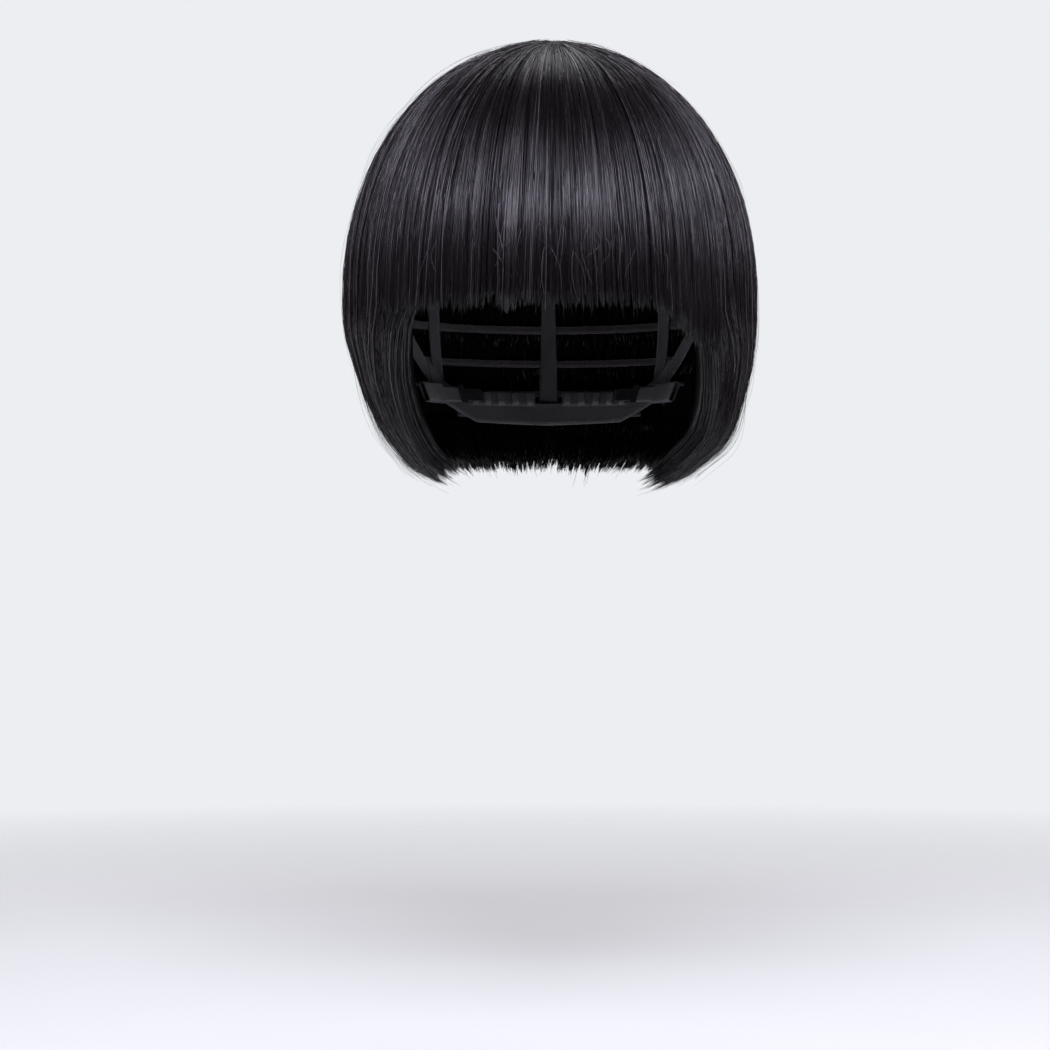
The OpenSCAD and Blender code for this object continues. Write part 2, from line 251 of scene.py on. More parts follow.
def link_mesh(name, verts, quads, tris, materials, quad_mats=None, tri_mats=None):
    """New smooth object from arrays of corner positions, four-sided and three-sided faces."""
    mesh = bpy.data.meshes.new(name)
    verts = np.asarray(verts, dtype=np.float32).reshape(-1, 3)
    quads = np.asarray(quads, dtype=np.int32).reshape(-1, 4)
    tris = np.asarray(tris, dtype=np.int32).reshape(-1, 3)
    mesh.vertices.add(len(verts))
    mesh.vertices.foreach_set("co", verts.ravel())
    corners = np.concatenate([quads.ravel(), tris.ravel()])
    mesh.loops.add(len(corners))
    mesh.loops.foreach_set("vertex_index", corners)
    starts = np.concatenate([np.arange(len(quads)) * 4, len(quads) * 4 + np.arange(len(tris)) * 3])
    mesh.polygons.add(len(starts))
    mesh.polygons.foreach_set("loop_start", starts.astype(np.int32))
    if quad_mats is not None:
        mesh.polygons.foreach_set("material_index", np.concatenate([quad_mats, tri_mats]).astype(np.int32))
    mesh.polygons.foreach_set("use_smooth", np.full(len(starts), True))
    mesh.update(calc_edges=True)
    for m in materials:
        mesh.materials.append(m)
    obj = bpy.data.objects.new(name, mesh)
    bpy.context.collection.objects.link(obj)
    return obj


def tubes(name, path, out, width, mats, tone=None, roll=None):
    """One closed three-sided tube along each path (tube, ring, 3). out is the outward direction there."""
    n, k, _ = path.shape
    along = unit(np.gradient(path, axis=1))
    side = unit(np.cross(along, out))
    up = np.cross(side, along)
    if roll is not None:
        c, s = np.cos(roll)[..., None], np.sin(roll)[..., None]
        up, side = up * c + side * s, side * c - up * s
    w = np.broadcast_to(width, (n, k))[..., None]
    ridge, half, base = up * w * 0.34, side * w * 0.5, up * w * 0.16
    rings = np.stack([path + ridge, path + half - base, path - half - base], axis=2)
    at = np.arange(n * k * 3).reshape(n, k, 3)
    nxt = np.roll(at, -1, axis=2)
    quads = np.stack([at[:, :-1], nxt[:, :-1], nxt[:, 1:], at[:, 1:]], axis=-1)
    tris = np.stack([at[:, 0, ::-1], at[:, -1]], axis=1)
    tone = np.zeros(n, dtype=int) if tone is None else tone
    return link_mesh(name, rings, quads, tris, mats, np.repeat(tone, (k - 1) * 3), np.repeat(tone, 2))


def wall(*corners):
    """Four-sided faces from the grids of their four corners."""
    return np.stack(corners, axis=-1).reshape(-1, 4)


def slab(name, inner, outer, mats):
    """Closed slab between two grids of points (columns, rows, 3). Columns by rows face outwards."""
    n, m, _ = outer.shape
    i, o = np.arange(2 * n * m).reshape(2, n, m)
    quads = np.concatenate([
        wall(o[:-1, :-1], o[:-1, 1:], o[1:, 1:], o[1:, :-1]),
        wall(i[:-1, :-1], i[1:, :-1], i[1:, 1:], i[:-1, 1:]),
        wall(i[:-1, 0], o[:-1, 0], o[1:, 0], i[1:, 0]),
        wall(i[:-1, -1], i[1:, -1], o[1:, -1], o[:-1, -1]),
        wall(i[0, :-1], i[0, 1:], o[0, 1:], o[0, :-1]),
        wall(i[-1, :-1], o[-1, :-1], o[-1, 1:], i[-1, 1:]),
    ])
    return link_mesh(name, np.stack([inner, outer]), quads, [], mats)


def shell(name, a, t, inner, outer, mats, hangs=False):
    """Slab over a grid of bearings and falls (columns, rows), between two depths."""
    if a[0].mean() > a[-1].mean():
        a, t, inner, outer = a[::-1], t[::-1], inner[::-1], outer[::-1]
    walls = [place(a, t, d) for d in (inner, outer)]
    if hangs:
        walls = [hang(w, t) for w in walls]
    return slab(name, *walls, mats)


def on_body(piece, body="cap", nodes=()):
    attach(piece, body)
    if nodes:
        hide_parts(*nodes)
    return piece


# ---------- Materials

def set_range(node, start, end, low, high):
    """Make a Map Range node bring start to low and end to high."""
    for socket, value in (("From Min", start), ("From Max", end), ("To Min", low), ("To Max", high)):
        node.inputs[socket].default_value = value


class Nodes:
    """Short way to add and link shader nodes."""

    def __init__(self, name):
        self.material = bpy.data.materials.new(name)
        self.material.use_nodes = True
        self.tree = self.material.node_tree
        self.shader = self.tree.nodes["Principled BSDF"]
        self.where = self.add("TexCoord").outputs["Object"]

    def add(self, kind, links=(), **inputs):
        """New node. Each further name is a property of the node or else one of its inputs."""
        node = self.tree.nodes.new("ShaderNode" + kind)
        for key, value in inputs.items():
            if hasattr(node, key):
                setattr(node, key, value)
            else:
                node.inputs[key.replace("_", " ")].default_value = value
        for source, target in links:
            self.tree.links.new(source, node.inputs[target])
        return node

    def texture(self, kind, **inputs):
        return self.add("Tex" + kind, [(self.where, "Vector")], **inputs)

    def drive(self, socket, output):
        self.tree.links.new(output, self.shader.inputs[socket])

    def ramp(self, factor, low, high, start=0.0, end=1.0):
        node = self.add("ValToRGB", [(factor, "Fac")])
        for stop, place_at, colour in zip(node.color_ramp.elements, (start, end), (low, high)):
            stop.position = place_at
            stop.color = (*colour, 1)
        return node.outputs["Color"]

    def span(self, value, low, high, start=0.0, end=1.0):
        """The value from start to end brought to between low and high."""
        node = self.add("MapRange", [(value, "Value")])
        set_range(node, start, end, low, high)
        return node.outputs["Result"]

    def bump(self, height, strength, distance):
        node = self.add("Bump", [(height, "Height")], Strength=strength, Distance=distance)
        self.drive("Normal", node.outputs["Normal"])


def shades(colour, *factors):
    """The colour made darker or paler by each factor."""
    return [[c * factor for c in colour] for factor in factors]


def fibre_material(name, colour, roughness, gloss):
    """Synthetic fibre. Its gloss drifts slowly over the hair; the streaks come from the strands."""
    n = Nodes(name)
    n.shader.inputs["Base Color"].default_value = (*colour, 1)
    n.shader.inputs["Roughness"].default_value = roughness
    n.shader.inputs["IOR"].default_value = 1.55
    drift = n.texture("Noise", Scale=45.0, Detail=2.0)
    n.drive("Specular IOR Level", n.span(drift.outputs["Fac"], gloss * 0.55, gloss * 1.45))
    return n.material


# Kinds of fibre (colour, roughness, gloss): dull and dark, plain, dullest, glossy, brownish, pale stray (its
# pale colour is a painted highlight for glints on stray hairs)
FIBRE_KINDS = [
    ((0.0055, 0.0042, 0.0046), 0.36, 0.13),
    ((0.0080, 0.0062, 0.0068), 0.28, 0.30),
    ((0.0045, 0.0036, 0.0040), 0.44, 0.08),
    ((0.0095, 0.0076, 0.0085), 0.23, 0.62),
    ((0.0200, 0.0145, 0.0125), 0.28, 0.85),
    ((0.1000, 0.0900, 0.1000), 0.28, 1.00),
]
FIBRES = [fibre_material(f"fibre_{i}", *kind) for i, kind in enumerate(FIBRE_KINDS)]
DULLEST, GLOSSY, BROWNISH, PALE_GLINT = 2, 3, 4, 5
# How common each kind is: in the body of the hair, on top of it, in the proud lock and in what flies off
FIBRE_SHARES = [0.28, 0.25, 0.18, 0.22, 0.07, 0.0]
# The pale kind, whose colour is a painted highlight, is mixed into the loose hair, the proud lock and the
# flyaways
LOOSE_SHARES = [0.1, 0.2, 0.0, 0.4, 0.2, 0.1]
PROUD_SHARES = [0.1, 0.25, 0.05, 0.45, 0.1, 0.05]
FLYAWAY_SHARES = [0.1, 0.2, 0.1, 0.3, 0.2, 0.1]
END_STRAY_SHARES = [0.25, 0.25, 0.1, 0.25, 0.15, 0.0]


def woven_material(name, colour, weave_scale=1800.0, roughness=0.75):
    """Woven elastic: fine ribs with a cross thread, slightly uneven and worn paler."""
    n = Nodes(name)
    ribs = n.texture("Wave", Scale=weave_scale / 3.0, Distortion=1.5, Detail=1.0)
    ribs.bands_direction = "DIAGONAL"
    cross = n.texture("Noise", Scale=weave_scale, Detail=2.0)
    wear = n.texture("Noise", Scale=60.0, Detail=4.0)
    weave = n.add("Math", [(ribs.outputs["Fac"], 0), (cross.outputs["Fac"], 1)], operation="MULTIPLY")
    tone = n.add("Math", [(weave.outputs[0], 0), (wear.outputs["Fac"], 1)], operation="ADD")
    n.drive("Base Color", n.ramp(tone.outputs[0], *shades(colour, 0.7, 1.45), 0.35, 1.1))
    n.drive("Roughness", n.span(cross.outputs["Fac"], roughness - 0.12, roughness + 0.12))
    n.bump(weave.outputs[0], 0.5, 0.0004)
    n.shader.inputs["Sheen Weight"].default_value = 0.25
    n.shader.inputs["Sheen Roughness"].default_value = 0.4
    return n.material


def thread_material(name, colour):
    """Twisted sewing thread."""
    n = Nodes(name)
    twist = n.texture("Wave", Scale=900.0, Distortion=2.0)
    n.drive("Specular IOR Level", n.span(twist.outputs["Fac"], 0.2, 0.7))
    n.shader.inputs["Base Color"].default_value = (*colour, 1)
    n.shader.inputs["Roughness"].default_value = 0.5
    return n.material


def plastic_material(name, colour):
    """Satin moulded plastic with faint flow marks and finger wear."""
    n = Nodes(name)
    flow = n.texture("Noise", Scale=90.0, Detail=5.0)
    grain = n.texture("Noise", Scale=2500.0, Detail=1.0)
    n.drive("Base Color", n.ramp(flow.outputs["Fac"], *shades(colour, 0.8, 1.3), 0.3, 0.7))
    n.drive("Roughness", n.span(flow.outputs["Fac"], 0.28, 0.46))
    n.bump(grain.outputs["Fac"], 0.15, 0.0001)
    return n.material


def skin_material(name):
    """Thin matt polyurethane film, pinkish and slightly blotched, with fine pores."""
    n = Nodes(name)
    blotch = n.texture("Noise", Scale=140.0, Detail=4.0)
    pores = n.texture("Voronoi", Scale=900.0)
    n.drive("Base Color", n.ramp(blotch.outputs["Fac"], (0.50, 0.38, 0.32), (0.68, 0.55, 0.48), 0.3, 0.7))
    n.drive("Roughness", n.span(blotch.outputs["Fac"], 0.45, 0.6))
    n.bump(pores.outputs["Distance"], 0.3, 0.0002)
    n.shader.inputs["Subsurface Weight"].default_value = 0.1
    return n.material


def net_material(name):
    """Fine black tricot between the thicker threads of the net."""
    n = Nodes(name)
    holes = n.texture("Voronoi", Scale=900.0)
    dark, pale = (0.004, 0.004, 0.004), (0.03, 0.03, 0.033)
    n.drive("Base Color", n.ramp(holes.outputs["Distance"], dark, pale, 0.05, 0.5))
    n.drive("Roughness", n.span(holes.outputs["Distance"], 0.9, 0.6))
    n.bump(holes.outputs["Distance"], 0.6, 0.0004)
    return n.material


ELASTIC = woven_material("woven_elastic", (0.095, 0.093, 0.100))
RIBBON = woven_material("ribbon_weave", (0.075, 0.072, 0.078), weave_scale=2600.0, roughness=0.65)
WEFT = woven_material("weft_edge", (0.045, 0.038, 0.040), weave_scale=3500.0, roughness=0.5)
THREAD = thread_material("sewing_thread", (0.15, 0.145, 0.155))
NET_THREAD = thread_material("net_thread", (0.09, 0.09, 0.095))
NET = net_material("net_tricot")
SKIN = skin_material("skin_film")
PLASTIC = plastic_material("black_plastic", (0.025, 0.025, 0.028))

# ---------- Hair strands

# Shallow waves over the hair: how many round the head, turns between crown and widest level, height
RIPPLES = [(7, 0.9, 0.16), (13, -0.6, 0.13), (23, 1.4, 0.11), (41, -1.1, 0.09), (67, 0.8, 0.07)]
RIPPLE_HEIGHT = 0.3
RIPPLE_ASIDE, RIPPLE_LIFT = 0.22, 0.22 * MM
# Each strand also swings aside by degrees and lifts by itself
SWING_ASIDE, SWING_LIFT = 0.13, 0.10 * MM
LOCK_COUNT = {"fringe": 96, "left": 66, "right": 66, "back": 140}
LOCK_LANES, LOCK_LIFT, LOCK_CUT = (-0.25, 1.25), 0.24 * MM, 0.7 * MM
# How far the strands of a lock draw together: all along, and more at the ends
GATHER, GATHER_AT_ENDS, GATHER_AT_BACK_ENDS = 0.3, 0.25, 0.05
END_FALL = 140.0  # fall at which a lane's bearing says how its end is cut
TURN = 2 * np.pi


def ripple(a, t, seed):
    """Waves that neighbouring strands share, about one unit high."""
    rng = np.random.default_rng(seed)
    waves = [h * np.sin(k * np.radians(a) + down * TURN * t / WIDEST + rng.uniform(0, TURN))
             for k, down, h in RIPPLES]
    return sum(waves) / RIPPLE_HEIGHT


def locks(section, v):
    """Fine locks that the strands gather into: middle, lift and cut of the lock that each lane is in."""
    rng = np.random.default_rng(len(section) * 5 + 3)
    n = LOCK_COUNT[section]
    edges = mix(*LOCK_LANES, np.cumsum(rng.uniform(0.25, 1.75, n)) / n)
    which = np.clip(np.searchsorted(edges, v), 1, n - 1)
    lift = rng.normal(0, LOCK_LIFT, n)
    cut = rng.normal(0, LOCK_CUT, n)
    return (edges[which] + edges[which - 1]) / 2, lift[which], cut[which]


def from_crown(rng, n):
    """Roots all over the crown, so that the strands lie equally dense all the way down."""
    return np.degrees(np.arcsin(rng.uniform(0.03, 0.985, n)))


def roots(low, high):
    """Roots between two falls."""
    return lambda rng, n: rng.uniform(low, high, n)


def on_surface(low, high):
    """Depth below the hair's outside, in millimetres."""
    return lambda rng, full: rng.uniform(low, high, len(full)) * MM


def through(low=0.0, high=1.0):
    """Anywhere between the outside, 0, and the innermost hair, 1."""
    return lambda rng, full: 0.6 * MM + rng.uniform(low, high, len(full)) * (full - HAIR_IN - 0.7 * MM)


SIDES = ("left", "right")
TUCK, TUCK_LANES, TUCK_FALLS = 2.2 * MM, 0.22, (74, 94)


def tuck(section, v, t):
    """How far the front of a side lies back behind the fringe's corner."""
    if section not in SIDES:
        return 0 * (v + t)
    return TUCK * clamp01(1 - v / TUCK_LANES) * between(t, *TUCK_FALLS)


SINK, SINK_RUN = 1.8 * MM, 16  # roots come up from under the hair above them
SHORTEST = 6  # least length of a strand, in degrees of fall
FLARE_FALLS = (64, 90)
LOWEST_LIE = HAIR_IN + 0.2 * MM


def strand_lines(rng, section, count, lanes, start, rings, cut_jitter, wander, lag):
    """Lanes, roots, bearings, falls, shares of the length and lifts of a bundle's strands."""
    lane, drop, _ = SECTIONS[section]
    v = rng.uniform(lanes[0], lanes[1], count)
    low_a = lane(v, np.full(count, END_FALL))
    root = start(rng, count)
    middle, rise, cut = locks(section, v + rng.normal(0, 0.002, count))
    end = fall_of(drop(low_a) + cut + rng.normal(0, cut_jitter * MM, count) - lag)
    root = np.minimum(root, end - SHORTEST)[:, None]
    u = np.linspace(0, 1, rings)[None, :]
    t = mix(root, end[:, None], u)
    a = lane(v[:, None], t)
    at_ends = GATHER_AT_BACK_ENDS if section == "back" else GATHER_AT_ENDS
    a += (GATHER + at_ends * ease((u - 0.7) / 0.3)) * (lane(middle[:, None], t) - a)
    phase = rng.uniform(0, TURN, (3, count, 1))
    pace = rng.uniform(0.6, 2.4, (3, count, 1))
    swing = sum(np.sin(phase[i] + pace[i] * np.pi * t / WIDEST) for i in range(3))
    a += SWING_ASIDE * wander * swing * ease(t / 60) + RIPPLE_ASIDE * wander * ripple(a, t, 5)
    lift = SWING_LIFT * np.sin(phase[1] * 3 + pace[0] * 4 * np.pi * t / WIDEST)
    lift += rise[:, None] * ease(t / 30)
    return v[:, None], root, a, t, u, lift


def strand_paths(rng, section, count, lanes, start, under, rings, cut_jitter=1.2, wander=1.0, lag=0.0,
                 flare=0.0):
    """Paths of a bundle: (points, outward directions, fall, share of the length)."""
    v, root, a, t, u, lift = strand_lines(rng, section, count, lanes, start, rings, cut_jitter, wander, lag)
    pa, pt = parted(a, t)
    full = thickness(pa, pt)
    below = under(rng, full[:, -1])[:, None]
    sink = SINK * (1 - ease((t - root) / SINK_RUN)) * (root > 5)
    d = full - below - sink + (lift + RIPPLE_LIFT * ripple(a, t, 3)) * wander
    d += flare * between(t, *FLARE_FALLS) - tuck(section, v, t) * (below < 2 * MM)
    d = np.maximum(d, LOWEST_LIE)
    return hang(place(pa, pt, d), pt), outward(pa, pt), t, u


def strands(name, section, seed, count, lanes, start, under, rings=20, width=0.36, shares=FIBRE_SHARES,
            tip=0.3, **more):
    """Bundle of strands as one piece. width is in millimetres, tip is the share of it left at the end."""
    rng = np.random.default_rng(seed)
    path, out, t, u = strand_paths(rng, section, count, lanes, start, under, rings, **more)
    taper = mix(0.6, 1, ease(t / 45)) * mix(1, tip, ease((u - 0.9) / 0.1))
    w = width * MM * rng.uniform(0.7, 1.35, count)[:, None] * taper
    roll = rng.normal(0, 0.32, count)[:, None] + 0.35 * np.sin(rng.uniform(0, 6.3, count)[:, None] + 5 * u)
    tone = rng.choice(len(FIBRES), count, p=shares)
    return on_body(tubes(name, path, out, w, FIBRES, tone, roll))


# Outer hair: piece, section, lanes that it covers, strands. cut_jitter is in millimetres everywhere.
OUTER_HAIR = [
    ("fringe_right", "fringe", (-0.16, 0.5), 1620), ("fringe_left", "fringe", (0.5, 1.12), 1560),
    ("side_left_front", "left", (0.0, 0.5), 1300), ("side_left_rear", "left", (0.5, 1.04), 1320),
    ("side_right_front", "right", (0.0, 0.5), 1300), ("side_right_rear", "right", (0.5, 1.04), 1320),
    ("back_left", "back", (-0.02, 0.33), 1400), ("back_middle", "back", (0.33, 0.67), 1350),
    ("back_right", "back", (0.67, 1.02), 1400),
]
LOOSE_COUNT = {"fringe": 240, "left": 160, "right": 160, "back": 260}
UNDER_COUNT = {"fringe": 2300, "left": 1700, "right": 1700, "back": 2600}
# Hair behind the fringe's corners (seed, lanes), and the seeds of the hair beside the face
CORNERS = {"left": (903, (0.88, 1.12)), "right": (904, (-0.16, 0.10))}
CHEEKS = {"left": 901, "right": 902}


def make_outer_hair():
    for name, section, lanes, count in OUTER_HAIR:
        depth = 0.5 if section == "fringe" else 0.75
        uneven = 2.3 if section in SIDES else 1.1
        strands(f"{name}_outer_hair", section, len(name) * 31 + count, count, lanes, from_crown,
                on_surface(depth, depth + 0.9), cut_jitter=uneven)


def make_loose_hair():
    """A few strands lie loose on top and catch the light, some by their gloss and some in the pale fibre,
    whose colour is painted highlight. One lock of the fringe stands a little proud.
    """
    for section, count in LOOSE_COUNT.items():
        strands(f"{section}_loose_hair", section, 700 + count, count, (0.0, 1.0), from_crown,
                on_surface(0.1, 0.7), width=0.26, wander=1.7, cut_jitter=2.5, shares=LOOSE_SHARES)
    strands("fringe_proud_lock", "fringe", 750, 120, (0.355, 0.39), roots(20, 40), on_surface(0.2, 0.9),
            wander=0.6, flare=2.6 * MM, width=0.32, shares=PROUD_SHARES)


def make_under_hair():
    """Hair through the thickness, seen at the cut ends and beside the face."""
    for section, count in UNDER_COUNT.items():
        strands(f"{section}_under_hair", section, 800 + count, count, (-0.02, 1.02), roots(55, 80), through(),
                rings=12, width=0.40, cut_jitter=1.4, lag=0.5 * MM, tip=0.4)
    for end, (seed, lanes) in CORNERS.items():
        strands(f"fringe_{end}_corner_hair", "fringe", seed, 700, lanes, roots(60, 80), through(0.0, 0.5),
                rings=12, cut_jitter=1.5)
    for section, seed in CHEEKS.items():
        strands(f"{section}_cheek_hair", section, seed, 900, (0.0, 0.10), roots(84, 96), through(),
                rings=12, wander=0.6, cut_jitter=2.0)


make_outer_hair()
make_loose_hair()
make_under_hair()


CORE_DEPTH, CORE_SHORTER, CORE_TOP = 2.0 * MM, 4 * MM, 0.1


def hair_core(section, seed):
    """Solid heart of a section's hair under its strands, grooved along the fibre."""
    rng = np.random.default_rng(seed)
    lane, drop, layers = SECTIONS[section]
    cols, rows = 200, 44
    margin = 0.03 if section in SIDES else 0.0
    v = mix(margin, 1.0, np.linspace(0, 1, cols))[:, None] + np.zeros((1, rows))
    stop = fall_of(drop(lane(v[:, 0], np.full(cols, END_FALL))) - CORE_SHORTER)
    t = mix(CORE_TOP, stop[:, None], np.linspace(0, 1, rows)[None, :])
    a = lane(v, t)
    full = thickness(a, t)
    groove = rng.normal(0, 0.10 * MM, (cols, 1)) + 0.15 * MM * ripple(a, t, 9)
    inner = HAIR_IN + 1.0 * MM + rng.uniform(0, 0.3 * MM, (cols, 1))
    outer = np.maximum(full - CORE_DEPTH - tuck(section, v, t) + groove, inner + 0.4 * MM)
    inner = np.broadcast_to(inner, full.shape)
    core = shell(f"{section}_hair_core", a, t, inner, outer, [FIBRES[DULLEST]], hangs=True)
    return on_body(core, nodes=[f"hair_{section}_{k + 1}" for k in range(layers)])


for number, section in enumerate(SECTIONS):
    hair_core(section, 60 + number)

# ---------- Cap: bands, ribbons and wefts, with the sizes of part.scad

# Falls of the cap's edge by bearing
CAP_EDGE = np.array([[0, 68], [35, 70], [50, 80], [60, 91], [66, 99], [76, 100], [86, 93], [102, 92],
                     [118, 107], [135, 122], [150, 128], [180, 129]], dtype=float)
TAB_TOP, TAB_A = 84, (58.5, 85.5)
BAND_W, BAND_T = 7, 1.2 * MM
RIBBON_W, RIBBON_D, RIBBON_TOP = 8 * MM, (1.7 * MM, 2.4 * MM), 14
WEFT_W, WEFT_D = 1.9, (2.8 * MM, 3.9 * MM)
# Bearing at which each row starts on either side, the rows' spacing and the fall of the last one
WEFT_FROM = [0, 0, 0, 0, 0, 50, 56, 62, 108, 118, 126, 134, 142]
ROW_STEP, LAST_ROW_T = 9, 124
RADIAN = 57.3  # in degrees, rounded
# Stitches: pitch, length and width
BAND_STITCH, WEFT_STITCH = (3.2 * MM, 2.2 * MM, 0.34 * MM), (2.6 * MM, 2.0 * MM, 0.3 * MM)
SLEEVE_STITCH = (2.4 * MM, 1.7 * MM, 0.34 * MM)
# Bearing of each ribbon and the fall at which it ends
RIBBONS = {"front_left": (28, 66), "side_left": (84, 81), "back_left": (135, 119), "front_right": (-28, 66),
           "side_right": (-84, 81), "back_right": (-135, 119), "back_centre": (180, 126)}


def cap_edge(a):
    """Fall of the cap's edge."""
    return np.interp(np.abs(signed(a)), CAP_EDGE[:, 0], CAP_EDGE[:, 1])


def all_round(t):
    """The same fall at every bearing."""
    return lambda a: 0 * a + t


def grid(a1, a2, top, low, cols, rows):
    """Bearings and falls of a strip of the cap, (columns, rows)."""
    a = np.linspace(a1, a2, cols)[:, None] + np.zeros((1, rows))
    t = mix(top(a[:, :1]), low(a[:, :1]), np.linspace(0, 1, rows)[None, :])
    return a, t


def rounded(d1, d2, rows, edge=0.35):
    """Inner and outer depth across a strip whose two long edges are rolled thinner."""
    x = np.abs(np.linspace(-1, 1, rows))[None, :]
    pinch = edge * (d2 - d1) * clamp01((x - 0.82) / 0.18) ** 2
    return d1 + pinch, d2 - pinch


def ribs(count, height):
    """Alternately raised and lowered by the height."""
    return height * np.where(np.arange(count) % 2 == 0, 1.0, -1.0)


def cap_band(name, a1, a2, top, body="cap"):
    """Band of woven elastic with raised ribs across it."""
    cols, rows = int(abs(a2 - a1) * 2.4), 13
    a, t = grid(a1, a2, top, cap_edge, cols, rows)
    low, high = rounded(0.0, BAND_T, rows)
    rib = ribs(cols, 0.10 * MM)[:, None]
    piece = shell(name + "_elastic", a, t, low + rib * 0.5 + 0.08 * MM, high + rib - 0.12 * MM, [ELASTIC])
    return on_body(piece, body, [name])


def stitch_row(name, path, out, pitch, length, width, body="cap", slot="weft_stitching"):
    """Row of running stitches along a line of points, each a short bowed thread."""
    run = np.concatenate([[0], np.cumsum(np.linalg.norm(np.diff(path, axis=0), axis=1))])
    starts = np.arange(pitch * 0.5, run[-1] - length, pitch)
    knots = 5
    s = starts[:, None] + np.linspace(0, length, knots)[None, :]
    pts = np.stack([np.interp(s, run, path[:, k]) for k in range(3)], axis=-1)
    ups = unit(np.stack([np.interp(s, run, out[:, k]) for k in range(3)], axis=-1))
    bow = np.sin(np.linspace(0, np.pi, knots))[None, :, None]
    piece = tubes(name, pts + ups * bow * width * 0.6, ups, width, [THREAD])
    return on_body(piece, body)


def cap_line(a, t, d):
    """Points and inward directions along the cap at a depth, for stitches seen from inside."""
    a, t = np.broadcast_arrays(np.asarray(a, dtype=float), np.asarray(t, dtype=float))
    return place(a, t, np.full(a.shape, d)), -outward(a, t)


def band_stitches(name, a1, a2, top, body="cap"):
    """One row of stitches inside each long edge of a band."""
    end_gap, edge_gap = 0.5, 0.9
    a = np.linspace(a1 + end_gap, a2 - end_gap, 80)
    for k, t in enumerate((top(a) + edge_gap, cap_edge(a) - edge_gap)):
        stitch_row(f"{name}_stitches_{k + 1}", *cap_line(a, t, 0.1 * MM), *BAND_STITCH, body, "elastic")


def above_edge(width):
    """Upper edge of a band of this width along the cap's edge."""
    return lambda a: cap_edge(a) - width


def tab_top(a):
    return np.minimum(cap_edge(a) - BAND_W, TAB_TOP)


def make_bands():
    pieces = [("front_band", -58, 58, above_edge(BAND_W), "cap"),
              ("nape_band", 128.5, 231.5, above_edge(BAND_W + 1), "cap"),
              ("side_band_left", 86, 128, above_edge(BAND_W), "cap"),
              ("side_band_right", -128, -86, above_edge(BAND_W), "cap"),
              ("ear_tab_left", *TAB_A, tab_top, "ear_tab_left"),
              ("ear_tab_right", -TAB_A[1], -TAB_A[0], tab_top, "ear_tab_right")]
    for name, a1, a2, top, body in pieces:
        cap_band(name, a1, a2, top, body)
        band_stitches(name, a1, a2, top, body)


def make_ribbons():
    for name, (bearing, end) in RIBBONS.items():
        cols, rows = 9, int((end - RIBBON_TOP) * 1.6)
        t = np.linspace(RIBBON_TOP, end, rows)[None, :] + np.zeros((cols, 1))
        plan = np.linalg.norm(head(np.full(rows, bearing), t[0])[:, :2], axis=-1)
        spread = np.degrees(np.arcsin(RIBBON_W / 2 / plan))
        across = np.linspace(-1, 1, cols)[:, None]
        a = bearing + across * spread[None, :]
        edge = 0.2 * MM * clamp01((np.abs(across) - 0.7) / 0.3)
        rib = ribs(rows, 0.05 * MM)[None, :]
        piece = shell(f"ribbon_{name}_weave", a, t, RIBBON_D[0] + edge + rib + 0 * a,
                      RIBBON_D[1] - edge + rib + 0 * a, [RIBBON])
        on_body(piece, nodes=[f"ribbon_{name}"])


def weft_ends(k):
    """Bearings between which a weft row runs. The first rows go all the way round."""
    return (0.0, 360.0) if WEFT_FROM[k] == 0 else (WEFT_FROM[k], 360.0 - WEFT_FROM[k])


def weft_fall(k):
    return LAST_ROW_T if k == len(WEFT_FROM) - 1 else ROW_STEP * (k + 2)


def weft_length(k):
    """About how long a row is."""
    a1, a2 = weft_ends(k)
    return np.linalg.norm(head(90.0, float(weft_fall(k)))[:2]) * (a2 - a1) / RADIAN


def make_wefts():
    """The sewn edge of each row, folded unevenly, with two rows of stitches."""
    rng = np.random.default_rng(77)
    half, rows = WEFT_W / 2, 7
    for k in range(len(WEFT_FROM)):
        t = weft_fall(k)
        a1, a2 = weft_ends(k)
        cols = int(weft_length(k) / (0.8 * MM))
        a, falls = grid(a1, a2, all_round(t - half), all_round(t + half), cols, rows)
        low, high = rounded(*WEFT_D, rows, edge=0.3)
        fold = rng.uniform(-0.09 * MM, 0.09 * MM, (cols, 1))
        fold[-1] = fold[0]
        on_body(shell(f"weft_row_{k + 1}", a, falls, low + fold, high + fold, [WEFT]),
                nodes=[f"weft_{k + 1}"])
        line = np.linspace(a1, a2, 90)
        for j, offset in enumerate((-0.45, 0.45)):
            stitch_row(f"weft_stitches_{k + 1}_{j + 1}", *cap_line(line, t + offset * half * 1.4, WEFT_D[0]),
                       *WEFT_STITCH)


make_bands()
make_ribbons()
make_wefts()

# Below the cap's edge: strands and the fall of their roots
LINING_HAIR = {"left": (1300, 92), "right": (1300, 92), "back": (2200, 122.5)}


def weft_hair(first, last, rng):
    """The hair that hangs from some rows, as seen from inside the cap between the rows."""
    paths, outs, widths = [], [], []
    u = np.linspace(0, 1, 7)[None, :]
    for k in range(first, last):
        a1, a2 = weft_ends(k)
        reach = 12 if k < len(WEFT_FROM) - 1 else 18
        n = int(weft_length(k) / (0.42 * MM))
        a = rng.uniform(a1, a2, n)[:, None] + rng.normal(0, 0.5, (n, 1)) * u
        falls = weft_fall(k) + mix(0.2, 1, u) * reach * rng.uniform(0.9, 1.1, (n, 1))
        d = HAIR_IN + (0.15 + 0.7 * rng.uniform(0, 1, (n, 1)) + 0.3 * u) * MM
        paths.append(place(a, falls, d))
        outs.append(-outward(a, falls))
        widths.append(0.4 * MM * rng.uniform(0.7, 1.3, (n, 1)) + 0 * d)
    path, out, width = (np.concatenate(x) for x in (paths, outs, widths))
    tone = rng.choice(len(FIBRES), len(path), p=FIBRE_SHARES)
    on_body(tubes(f"weft_hair_{first + 1}_to_{last}", path, out, width, FIBRES, tone))


